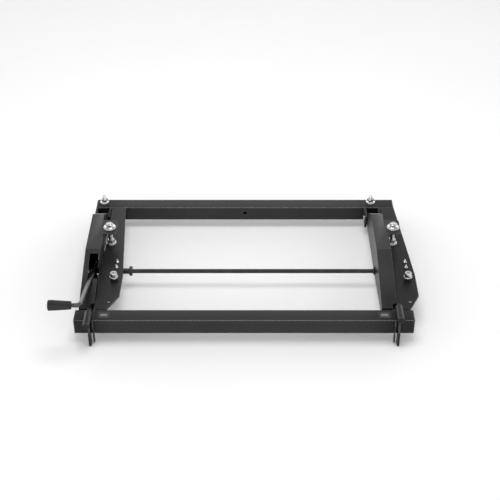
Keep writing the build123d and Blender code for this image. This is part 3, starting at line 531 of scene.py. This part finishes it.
def spun(profile, origin, axis, steps=48):
    """A turned solid: (distance along the axis, radius) points, from one end to the other."""
    axis = Vector(axis).normalized()
    side = axis.orthogonal().normalized()
    origin = Vector(origin)
    bm = bmesh.new()
    ring = [bm.verts.new(origin + axis * s + side * r) for s, r in profile]
    for a, b in zip(ring, ring[1:]):
        bm.edges.new((a, b))
    bmesh.ops.spin(
        bm, geom=bm.verts[:] + bm.edges[:], cent=origin, axis=axis,
        angle=math.tau, steps=steps, use_merge=True,
    )
    bmesh.ops.remove_doubles(bm, verts=bm.verts, dist=1e-7)
    bmesh.ops.holes_fill(bm, edges=[e for e in bm.edges if e.is_boundary])
    bmesh.ops.recalc_face_normals(bm, faces=bm.faces)
    return bm


def threaded(radius, depth, pitch, x, y, z0, z1, steps=24):
    """A threaded rod, upright: a toothed line is spun once round while it climbs one pitch."""
    bm = bmesh.new()
    turns = max(1, int((z1 - z0 - pitch) / pitch))
    # One tooth: how far up the pitch each corner is, and its radius.
    tooth = ((0.0, radius - depth), (0.36, radius), (0.5, radius), (0.86, radius - depth))
    line = []
    for turn in range(turns + 1):
        for share, r in tooth:
            line.append(bm.verts.new((x + r, y, z0 + (turn + share - 1) * pitch)))
    for a, b in zip(line, line[1:]):
        bm.edges.new((a, b))
    bmesh.ops.spin(
        bm, geom=bm.verts[:] + bm.edges[:], cent=(x, y, 0), axis=(0, 0, 1), dvec=(0, 0, pitch / steps),
        angle=math.tau, steps=steps, use_merge=False,
    )
    bmesh.ops.remove_doubles(bm, verts=bm.verts, dist=1e-6)
    for plane_z, outward in ((z0, -1), (z1, 1)):
        geometry = bm.verts[:] + bm.edges[:] + bm.faces[:]
        bmesh.ops.bisect_plane(
            bm, geom=geometry, plane_co=(0, 0, plane_z), plane_no=(0, 0, outward), clear_outer=True
        )
    bmesh.ops.holes_fill(bm, edges=[e for e in bm.edges if e.is_boundary])
    bmesh.ops.recalc_face_normals(bm, faces=bm.faces)
    return bm


def joined(*meshes):
    """Several bmeshes as one."""
    whole = bmesh.new()
    for bm in meshes:
        data = bpy.data.meshes.new("part")
        bm.to_mesh(data)
        bm.free()
        whole.from_mesh(data)
        bpy.data.meshes.remove(data)
    return whole


def piece(bm, name, body, slot, replaces=(), smooth_angle=35.0):
    """Makes an object of a bmesh, gives it its finish and lets it ride on its body."""
    data = bpy.data.meshes.new(name)
    bm.to_mesh(data)
    bm.free()
    data.shade_smooth()
    data.set_sharp_from_angle(angle=math.radians(smooth_angle))
    obj = bpy.data.objects.new(name, data)
    bpy.context.scene.collection.objects.link(obj)
    data.materials.append(finish_for(slot))
    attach(obj, body)
    if replaces:
        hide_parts(*replaces)
    return obj


def soften(obj, width, segments=3, angle=28.0):
    """Rounds an object's sharp edges."""
    bevel = obj.modifiers.new("Soft edges", "BEVEL")
    bevel.width = width
    bevel.segments = segments
    bevel.limit_method = "ANGLE"
    bevel.angle_limit = math.radians(angle)
    bevel.harden_normals = True
    bevel.miter_outer = "MITER_ARC"
    return obj


def rounded_copy(node, width, segments=3):
    """Stands for a CAD node: the same solid, its triangles merged to faces and its edges rounded."""
    bm = bmesh.new()
    bm.from_mesh(NODES[node].data)
    bmesh.ops.remove_doubles(bm, verts=bm.verts, dist=2e-6)
    bmesh.ops.dissolve_limit(
        bm, angle_limit=math.radians(0.6), verts=bm.verts, edges=bm.edges, delimit={"NORMAL"}
    )
    obj = piece(bm, node + "_finished", BODY_OF[node], SLOT_OF[node], [node], 28.0)
    return soften(obj, width, segments)


def bead(start, end, radius, ripple, wobble=0.18):
    """A weld bead: rings along a line, swelling and shrinking as the ripples do."""
    start, end = Vector(start), Vector(end)
    run = end - start
    steps = max(4, int(run.length / ripple) * 3)
    bm = bmesh.new()
    turn = run.to_track_quat("Z", "Y").to_matrix().to_4x4()
    ring = bmesh.ops.create_circle(
        bm, segments=10, radius=radius * 0.5, matrix=Matrix.Translation(start) @ turn, cap_ends=True
    )["verts"]
    edges = list({e for v in ring for e in v.link_edges})
    for step in range(1, steps + 1):
        made = bmesh.ops.extrude_edge_only(bm, edges=edges)["geom"]
        ring = [g for g in made if isinstance(g, bmesh.types.BMVert)]
        edges = [g for g in made if isinstance(g, bmesh.types.BMEdge)]
        bmesh.ops.translate(bm, verts=ring, vec=run / steps)
        swell = radius * (1 - wobble * abs(math.sin(math.pi * step / 3)))
        if step == steps:
            swell = radius * 0.5
        middle = start + run * step / steps
        for v in ring:
            v.co = middle + (v.co - middle).normalized() * swell
    bmesh.ops.holes_fill(bm, edges=[e for e in bm.edges if e.is_boundary])
    bmesh.ops.recalc_face_normals(bm, faces=bm.faces)
    return bm


# ---- operators -----------------------------------------------------------------------
class CLAMPFRAME_OT_beams(bpy.types.Operator):
    """Square tube beams, their plastic plugs and the side rails"""

    bl_idname = "clampframe.beams"
    bl_label = "Beams and rails"
    bl_options = {"REGISTER", "UNDO"}

    def execute(self, context):
        detail = context.scene.clamp_detail
        for node in (
            "front_beam", "rear_beam", "left_side_rail", "right_side_rail",
            "front_beam_end_caps", "rear_beam_end_caps",
        ):
            rounded_copy(node, detail.fine_edge, 2)
        return {"FINISHED"}


class CLAMPFRAME_OT_decks(bpy.types.Operator):
    """Deck plates, pivot cheeks and hook plates"""

    bl_idname = "clampframe.decks"
    bl_label = "Decks, cheeks and hooks"
    bl_options = {"REGISTER", "UNDO"}

    def execute(self, context):
        detail = context.scene.clamp_detail
        for side in ("left", "right"):
            for part in ("_deck", "_pivot_cheek", "_foot_cheek", "_outer_hook", "_inner_hook"):
                rounded_copy(side + part, detail.plate_edge)
            rounded_copy(side + "_bearing_block", detail.plate_edge)
        return {"FINISHED"}


class CLAMPFRAME_OT_arms(bpy.types.Operator):
    """Humped arms with their lugs, followers and pivot tubes"""

    bl_idname = "clampframe.arms"
    bl_label = "Arms"
    bl_options = {"REGISTER", "UNDO"}

    def execute(self, context):
        detail = context.scene.clamp_detail
        for side in ("left", "right"):
            rounded_copy(side + "_arm", detail.arm_edge)
            rounded_copy(side + "_arm_lug", detail.plate_edge)
            rounded_copy(side + "_arm_follower", detail.plate_edge)
        return {"FINISHED"}


class CLAMPFRAME_OT_lever(bpy.types.Operator):
    """Bent lever bar, hub and cross pin"""

    bl_idname = "clampframe.lever"
    bl_label = "Lever"
    bl_options = {"REGISTER", "UNDO"}

    def execute(self, context):
        detail = context.scene.clamp_detail
        for node in ("lever_bar", "lever_hub", "hub_pin"):
            rounded_copy(node, detail.fine_edge, 2)
        return {"FINISHED"}


# Share of the grip's length from its outer end, and share of its radius.
GRIP_OUTLINE = (
    (0.0, 0.0), (0.0, 0.86), (0.006, 0.93), (0.018, 0.975), (0.035, 0.995), (0.10, 1.0), (0.30, 0.965),
    (0.50, 0.91), (0.70, 0.855), (0.88, 0.80), (0.965, 0.775), (0.99, 0.74), (1.0, 0.66),
)
GRIP_BORE_R = 5.08 * MM
GRIP_BORE_CHAMFER = 0.6 * MM
GRIP_BORE_SPARE = 1.5 * MM   # the bore runs on past the shank's end


class CLAMPFRAME_OT_grip(bpy.types.Operator):
    """Turned black grip, free to spin on the lever's shank"""

    bl_idname = "clampframe.grip"
    bl_label = "Grip"
    bl_options = {"REGISTER", "UNDO"}

    def execute(self, context):
        detail = context.scene.clamp_detail
        low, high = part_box("grip")
        middle = (low + high) / 2
        length, radius = high.x - low.x, (high.z - low.z) / 2
        bore_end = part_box("lever_bar")[0].x - low.x - GRIP_BORE_SPARE
        profile = [(share * length, r * radius) for share, r in GRIP_OUTLINE]
        profile += [
            (length, GRIP_BORE_R + GRIP_BORE_CHAMFER),
            (length - GRIP_BORE_CHAMFER, GRIP_BORE_R),
            (bore_end, GRIP_BORE_R),
            (bore_end, 0.0),
        ]
        bm = spun(profile, (low.x, middle.y, middle.z), (1, 0, 0), 48)
        obj = piece(bm, "grip_turned", "grip", "black_plastic", ["grip"], 50.0)
        soften(obj, detail.fine_edge, 2, 40.0)
        return {"FINISHED"}


class CLAMPFRAME_OT_shaft(bpy.types.Operator):
    """Cross shaft, sleeve, collars and cams"""

    bl_idname = "clampframe.shaft"
    bl_label = "Cross shaft"
    bl_options = {"REGISTER", "UNDO"}

    def execute(self, context):
        detail = context.scene.clamp_detail
        for node in (
            "cross_shaft", "shaft_sleeve", "left_shaft_collar", "right_shaft_collar", "collar_set_screws",
            "left_cam", "right_cam", "shaft_clip", "bearing_bushes",
        ):
            rounded_copy(node, detail.fine_edge, 2)
        return {"FINISHED"}


class CLAMPFRAME_OT_latches(bpy.types.Operator):
    """Sliding latch bolts and their T-shaped guides"""

    bl_idname = "clampframe.latches"
    bl_label = "Latch bolts"
    bl_options = {"REGISTER", "UNDO"}

    def execute(self, context):
        detail = context.scene.clamp_detail
        for node in ("left_latch_bolt", "right_latch_bolt", "latch_guides"):
            rounded_copy(node, detail.fine_edge, 2)
        return {"FINISHED"}


M12_RADIUS = 6.0 * MM
M5_RADIUS = 2.5 * MM
M5_THREAD_SHARE = 0.8 / 1.75     # the M5 pitch over the M12 pitch
HEX_HEAD_HEIGHT = 7.5 * MM
HEX_CHAMFER = 0.6 * MM
HEX_SEAT_SHARE = 0.93            # radius at the head's underside, over half across the flats
HEX_CORNER_SHARE = 1.13          # radius at its corners, over the same
SOCKET_HEAD_HEIGHT = 12.0 * MM
SOCKET_SHARE = 0.42              # half across the socket's flats, over the head's radius
SOCKET_DEPTH_SHARE = 0.22
KNURL_HEIGHT_SHARE = 0.86
KNURL_ROOT_SHARE = 0.975
HEAD_RIM_SHARE = 0.93


def raised(bm, face, rise, keep=False):
    """Extrudes a face straight up, and gives back the face at the far end."""
    made = bmesh.ops.extrude_face_region(bm, geom=[face])["geom"]
    far = next(g for g in made if isinstance(g, bmesh.types.BMFace))
    if face.is_valid and not keep:
        bmesh.ops.delete(bm, geom=[face], context="FACES_ONLY")
    bmesh.ops.translate(bm, verts=far.verts, vec=(0, 0, rise))
    return far


def threaded_stud(radius, depth, pitch, x, y, z0, z1):
    """A threaded rod with a turned tip."""
    tip = z1 - radius / 6
    cone = spun(
        [(0, 0), (0, radius - depth), (radius / 6, radius - depth * 1.6), (radius / 6, 0)],
        (x, y, tip), (0, 0, 1), 24,
    )
    return joined(threaded(radius, depth, pitch, x, y, z0, tip), cone)


def socket_screw(low, high, head_height, radius, pitch, depth, teeth):
    """A socket head screw in that box, head up: knurled head, hexagon socket, threaded shank."""
    x, y = upright_axis(low, high)
    head_r = (high.x - low.x) / 2
    seat = high.z - head_height
    segments = teeth * 2
    bm = bmesh.new()
    ring = bmesh.ops.create_circle(
        bm, segments=segments, radius=head_r, matrix=Matrix.Translation((x, y, seat)), cap_ends=True
    )["verts"]
    middle = Vector((x, y))

    def reshape(verts, radius_at):
        for v in verts:
            offset = v.co.xy - middle
            turned = radius_at(math.atan2(offset.y, offset.x))
            v.co.xy = middle + offset.normalized() * turned

    def knurl(angle):
        return head_r * (1.0 if int(round(angle / math.tau * segments)) % 2 else KNURL_ROOT_SHARE)

    def hexagon(angle):
        flat = head_r * SOCKET_SHARE
        return flat / math.cos((angle + math.tau / 12) % (math.tau / 6) - math.tau / 12)

    reshape(ring, knurl)
    face = raised(bm, ring[0].link_faces[0], head_height * KNURL_HEIGHT_SHARE, keep=True)
    face = raised(bm, face, head_height * (1 - KNURL_HEIGHT_SHARE))
    bmesh.ops.scale(
        bm, verts=face.verts, vec=(HEAD_RIM_SHARE, HEAD_RIM_SHARE, 1), space=Matrix.Translation((-x, -y, 0))
    )
    face = raised(bm, face, 0)
    reshape(face.verts, hexagon)
    raised(bm, face, -head_height * SOCKET_DEPTH_SHARE)
    bmesh.ops.recalc_face_normals(bm, faces=bm.faces)
    return joined(bm, threaded(radius, depth, pitch, x, y, low.z, seat))


def hexagon_bolt(low, high, pitch, depth):
    """A bolt in that box, head down: a hexagon head chamfered above and below, and a threaded shank."""
    x, y = upright_axis(low, high)
    half_flats = (high.y - low.y) / 2
    head = spun(
        [(0.0, 0.0), (0.0, half_flats * HEX_SEAT_SHARE), (HEX_CHAMFER, half_flats * HEX_CORNER_SHARE),
         (HEX_HEAD_HEIGHT - HEX_CHAMFER, half_flats * HEX_CORNER_SHARE),
         (HEX_HEAD_HEIGHT, half_flats), (HEX_HEAD_HEIGHT, 0.0)],
        (x, y, low.z), (0, 0, 1), 6,
    )
    return joined(head, threaded_stud(M12_RADIUS, depth, pitch, x, y, low.z + HEX_HEAD_HEIGHT, high.z))


class CLAMPFRAME_OT_fasteners(bpy.types.Operator):
    """Bolts with cut threads, nuts, washers and socket screws"""

    bl_idname = "clampframe.fasteners"
    bl_label = "Fasteners"
    bl_options = {"REGISTER", "UNDO"}

    def execute(self, context):
        detail = context.scene.clamp_detail
        pitch, depth = detail.thread_pitch, detail.thread_depth
        for node in ("stop_bolts", "rear_bolts"):
            shapes = [hexagon_bolt(low, high, pitch, depth) for low, high in solid_boxes(node)]
            piece(joined(*shapes), node + "_threaded", "frame", "zinc", [node], 40.0)
        shapes = [
            socket_screw(low, high, SOCKET_HEAD_HEIGHT, M12_RADIUS, pitch, depth, detail.knurl_teeth)
            for low, high in solid_boxes("deck_screws")
        ]
        piece(joined(*shapes), "deck_screws_threaded", "frame", "zinc", ["deck_screws"], 40.0)
        fine_depth, fine_pitch = depth * M5_THREAD_SHARE, pitch * M5_THREAD_SHARE
        shapes = [
            threaded_stud(M5_RADIUS, fine_depth, fine_pitch, *upright_axis(low, high), low.z, high.z)
            for low, high in solid_boxes("bearing_studs", 2)
        ]
        piece(joined(*shapes), "bearing_studs_threaded", "frame", "zinc", ["bearing_studs"], 40.0)
        for node in (
            "stop_lower_nuts", "stop_top_nuts", "rear_nuts", "deck_screw_nuts", "stop_lower_washers",
            "stop_top_washers", "rear_washers", "deck_screw_washers", "bearing_nuts", "pivot_pins",
            "pin_clips", "deck_screw_bushes", "left_arm_pin",
        ):
            rounded_copy(node, detail.fine_edge, 2)
        return {"FINISHED"}


CHEEK_WELD_START = 6 * MM    # above the rear beam's underside
CHEEK_WELD_STOP = 5 * MM     # below the cheek's top
RAIL_WELD_STOP = 2 * MM      # below the rail's top
HOOK_WELD_START = 5 * MM     # above the front beam's underside
HOOK_WELD_STOP = 38 * MM
LUG_WELD_INSET = 3 * MM
HOOK_BEAD_SHARE = 0.7        # of a frame bead's radius
LUG_BEAD_SHARE = 0.6


class CLAMPFRAME_OT_welds(bpy.types.Operator):
    """Weld beads between beams, rails, cheeks, hooks, arms and lugs"""

    bl_idname = "clampframe.welds"
    bl_label = "Weld beads"
    bl_options = {"REGISTER", "UNDO"}

    def execute(self, context):
        detail = context.scene.clamp_detail
        radius, ripple = detail.bead_radius, detail.bead_ripple
        beads = []
        for side in ("left", "right"):
            for part in ("_pivot_cheek", "_foot_cheek"):
                low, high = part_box(side + part)
                beam_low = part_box("rear_beam")[0]
                for x in (low.x, high.x):
                    beads.append(bead(
                        (x, beam_low.y, beam_low.z + CHEEK_WELD_START),
                        (x, beam_low.y, high.z - CHEEK_WELD_STOP),
                        radius, ripple,
                    ))
            low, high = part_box(side + "_side_rail")
            for y in (low.y, high.y):
                beads.append(bead((low.x, y, low.z), (high.x, y, low.z), radius, ripple))
                for x in (low.x, high.x):
                    beads.append(bead((x, y, low.z), (x, y, high.z - RAIL_WELD_STOP), radius, ripple))
            for part in ("_outer_hook", "_inner_hook"):
                low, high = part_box(side + part)
                face_y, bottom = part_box("front_beam")[0].y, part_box("front_beam")[0].z
                outer = low.x if abs(low.x) > abs(high.x) else high.x
                inner = high.x if abs(low.x) > abs(high.x) else low.x
                x = outer if part == "_outer_hook" else inner
                beads.append(bead(
                    (x, face_y, bottom + HOOK_WELD_START), (x, face_y, bottom + HOOK_WELD_STOP),
                    radius * HOOK_BEAD_SHARE, ripple,
                ))
        piece(joined(*beads), "weld_beads_frame", "frame", "black_coat", (), 60.0)
        for side in ("left", "right"):
            low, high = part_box(side + "_arm_lug")
            lug_bead = bead(
                (low.x, low.y + LUG_WELD_INSET, low.z), (low.x, high.y - LUG_WELD_INSET, low.z),
                radius * LUG_BEAD_SHARE, ripple,
            )
            piece(lug_bead, side + "_lug_bead", side + "_arm", "black_coat", (), 60.0)
        return {"FINISHED"}


class CLAMPFRAME_OT_labels(bpy.types.Operator):
    """Plain labels on the front beam"""

    bl_idname = "clampframe.labels"
    bl_label = "Labels"
    bl_options = {"REGISTER", "UNDO"}

    def execute(self, context):
        detail = context.scene.clamp_detail
        rounded_copy("labels", detail.fine_edge * 0.4, 2)
        return {"FINISHED"}


class CLAMPFRAME_OT_leftovers(bpy.types.Operator):
    """Gives every CAD node that is still shown its finish"""

    bl_idname = "clampframe.leftovers"
    bl_label = "Remaining CAD nodes"
    bl_options = {"REGISTER", "UNDO"}

    def execute(self, context):
        for node, obj in NODES.items():
            if obj.hide_render:
                continue
            finish = finish_for(SLOT_OF[node])
            for slot in obj.material_slots:
                slot.material = finish
            if not obj.material_slots:
                obj.data.materials.append(finish)
        return {"FINISHED"}


FLOOR_GAP = 0.0002           # below the lowest point of the frame
SENSOR_WIDTH = 36.0
FAR_CLIP = 100.0
# The surround changes strength over two bands, each given by the height of the direction looked
# in: 0 on the horizon, 1 overhead.
HORIZON_BAND = (0.28, 0.40)
CEILING_BAND = (0.50, 0.70)
KEY_OFFSET = (0.0, 0.1, 2.6)     # from the middle of the frame
KEY_SIZE = (1.4, 1.2)


class CLAMPFRAME_OT_stage(bpy.types.Operator):
    """Pale floor, soft box, white surround and the camera"""

    bl_idname = "clampframe.stage"
    bl_label = "Stage"
    bl_options = {"REGISTER", "UNDO"}

    def execute(self, context):
        studio = context.scene.clamp_studio
        self.floor(studio)
        self.lights(studio)
        self.camera(studio)
        context.scene.view_settings.view_transform = "Standard"
        return {"FINISHED"}

    def floor(self, studio):
        bm = bmesh.new()
        bmesh.ops.create_grid(
            bm, x_segments=2, y_segments=2, size=studio.floor_size / 2,
            matrix=Matrix.Translation((0, 0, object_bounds()[0].z - FLOOR_GAP)),
        )
        data = bpy.data.meshes.new("floor")
        bm.to_mesh(data)
        bm.free()
        data.materials.append(floor_material())
        floor = bpy.data.objects.new("floor", data)
        bpy.context.scene.collection.objects.link(floor)
        floor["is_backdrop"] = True

    def soft_box(self, name, place, aim, size, power):
        data = bpy.data.lights.new(name, "AREA")
        data.shape = "RECTANGLE"
        data.size, data.size_y = size
        data.energy = power
        lamp = bpy.data.objects.new(name, data)
        lamp.location = place
        lamp.rotation_mode = "QUATERNION"
        lamp.rotation_quaternion = (Vector(aim) - Vector(place)).to_track_quat("-Z", "Y")
        bpy.context.scene.collection.objects.link(lamp)

    def lights(self, studio):
        world = bpy.data.worlds.new("White surround")
        world.use_nodes = True
        tree = world.node_tree
        background = tree.nodes["Background"]
        background.inputs["Color"].default_value = (1, 1, 1, 1)
        place = tree.nodes.new("ShaderNodeTexCoord")
        split = tree.nodes.new("ShaderNodeSeparateXYZ")
        tree.links.new(place.outputs["Object"], split.inputs["Vector"])
        strength = tree.nodes.new("ShaderNodeMath")
        strength.operation = "MULTIPLY"
        bands = (
            (*HORIZON_BAND, studio.horizon_strength, studio.world_strength),
            (*CEILING_BAND, 1.0, studio.ceiling_share),
        )
        for index, numbers in enumerate(bands):
            fade = tree.nodes.new("ShaderNodeMapRange")
            for socket, number in zip(RANGE_SOCKETS, numbers):
                fade.inputs[socket].default_value = number
            tree.links.new(split.outputs["Z"], fade.inputs["Value"])
            tree.links.new(fade.outputs["Result"], strength.inputs[index])
        tree.links.new(strength.outputs["Value"], background.inputs["Strength"])
        bpy.context.scene.world = world
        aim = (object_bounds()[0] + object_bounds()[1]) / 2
        self.soft_box("key box", aim + Vector(KEY_OFFSET), aim, KEY_SIZE, studio.key_power)

    def camera(self, studio):
        data = bpy.data.cameras.new("camera")
        data.lens = studio.lens
        data.sensor_width = SENSOR_WIDTH
        data.clip_end = FAR_CLIP
        camera = bpy.data.objects.new("camera", data)
        low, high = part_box("front_beam")
        camera.location = (
            (low.x + high.x) / 2 + studio.camera_side, low.y - studio.camera_back, high.z + studio.camera_up
        )
        camera.rotation_euler = (math.pi / 2 - studio.camera_elevation, 0, 0)
        bpy.context.scene.collection.objects.link(camera)
        bpy.context.scene.camera = camera


PIECE_OPERATORS = (
    CLAMPFRAME_OT_beams, CLAMPFRAME_OT_decks, CLAMPFRAME_OT_arms, CLAMPFRAME_OT_lever, CLAMPFRAME_OT_grip,
    CLAMPFRAME_OT_shaft, CLAMPFRAME_OT_latches, CLAMPFRAME_OT_fasteners, CLAMPFRAME_OT_welds,
    CLAMPFRAME_OT_labels, CLAMPFRAME_OT_leftovers, CLAMPFRAME_OT_stage,
)


class CLAMPFRAME_PT_panel(bpy.types.Panel):
    """Lists the operators and settings of the clamping frame"""

    bl_idname = "CLAMPFRAME_PT_panel"
    bl_label = "Clamp Frame"
    bl_space_type = "VIEW_3D"
    bl_region_type = "UI"
    bl_category = "Clamp Frame"

    def draw(self, context):
        for group in (context.scene.clamp_finish, context.scene.clamp_detail, context.scene.clamp_studio):
            box = self.layout.box()
            for key in group.__annotations__:
                box.prop(group, key)
        for operator in PIECE_OPERATORS:
            self.layout.operator(operator.bl_idname)


SETTINGS = {
    "clamp_finish": FinishSettings,
    "clamp_detail": DetailSettings,
    "clamp_studio": StudioSettings,
}
CLASSES = (*SETTINGS.values(), *PIECE_OPERATORS, CLAMPFRAME_PT_panel)


def register():
    for cls in CLASSES:
        bpy.utils.register_class(cls)
    for name, cls in SETTINGS.items():
        setattr(bpy.types.Scene, name, PointerProperty(type=cls))


def unregister():
    for name in SETTINGS:
        delattr(bpy.types.Scene, name)
    for cls in reversed(CLASSES):
        bpy.utils.unregister_class(cls)


def main():
    register()
    for operator in PIECE_OPERATORS:
        group, name = operator.bl_idname.split(".")
        getattr(getattr(bpy.ops, group), name)()


if __name__ == "__main__":
    main()
